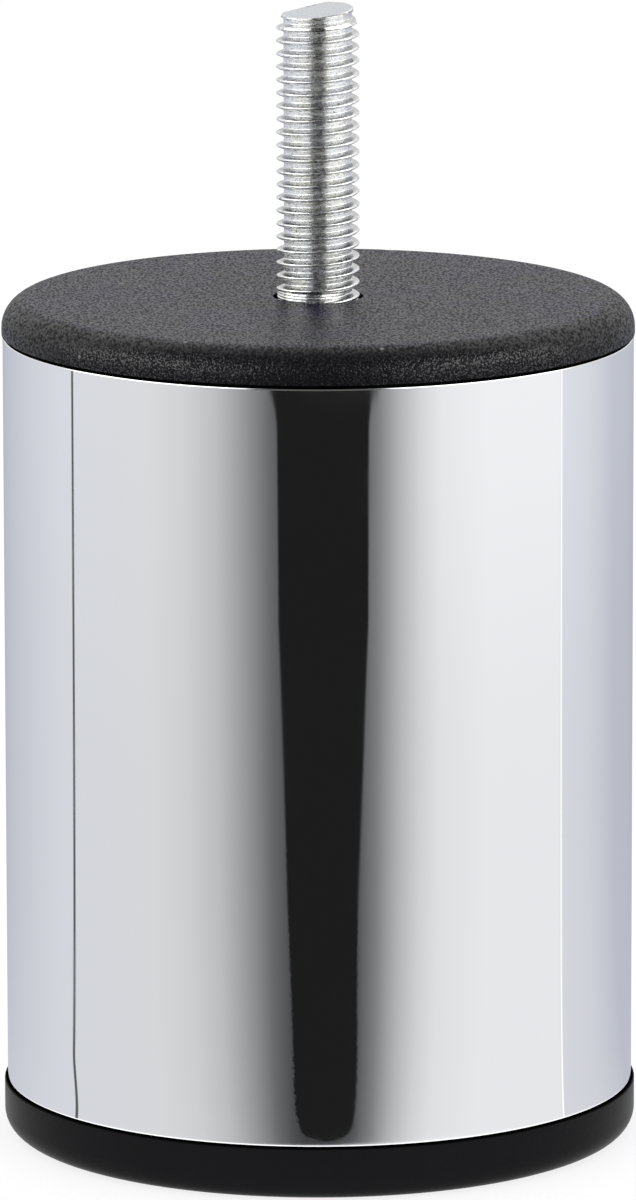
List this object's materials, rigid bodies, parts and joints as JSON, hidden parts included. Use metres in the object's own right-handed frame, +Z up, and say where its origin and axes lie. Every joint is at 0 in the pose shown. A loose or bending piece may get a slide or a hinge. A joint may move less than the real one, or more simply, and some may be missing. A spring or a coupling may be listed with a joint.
{
  "type": "furniture leg",
  "caption": "Short round furniture leg: a plated tube closed by a moulded foot below and a moulded cap above, with a threaded stud standing up from the cap.",
  "frame": {"origin": "centre of the floor face, on the leg's axis", "axes": "+Z up along the leg's axis, towards the thread's point; +X and +Y are arbitrary, because the outside is round"},
  "size_m": [0.0606, 0.0606, 0.109],
  "materials": {
    "chrome": "polished plating",
    "black_plastic": "fine spark-eroded grain",
    "zinc": "bright zinc plating"
  },
  "bodies": {
    "root": {"tube": "chrome", "cap": "black_plastic", "foot": "black_plastic", "screw": "zinc"}
  },
  "joints": []
}
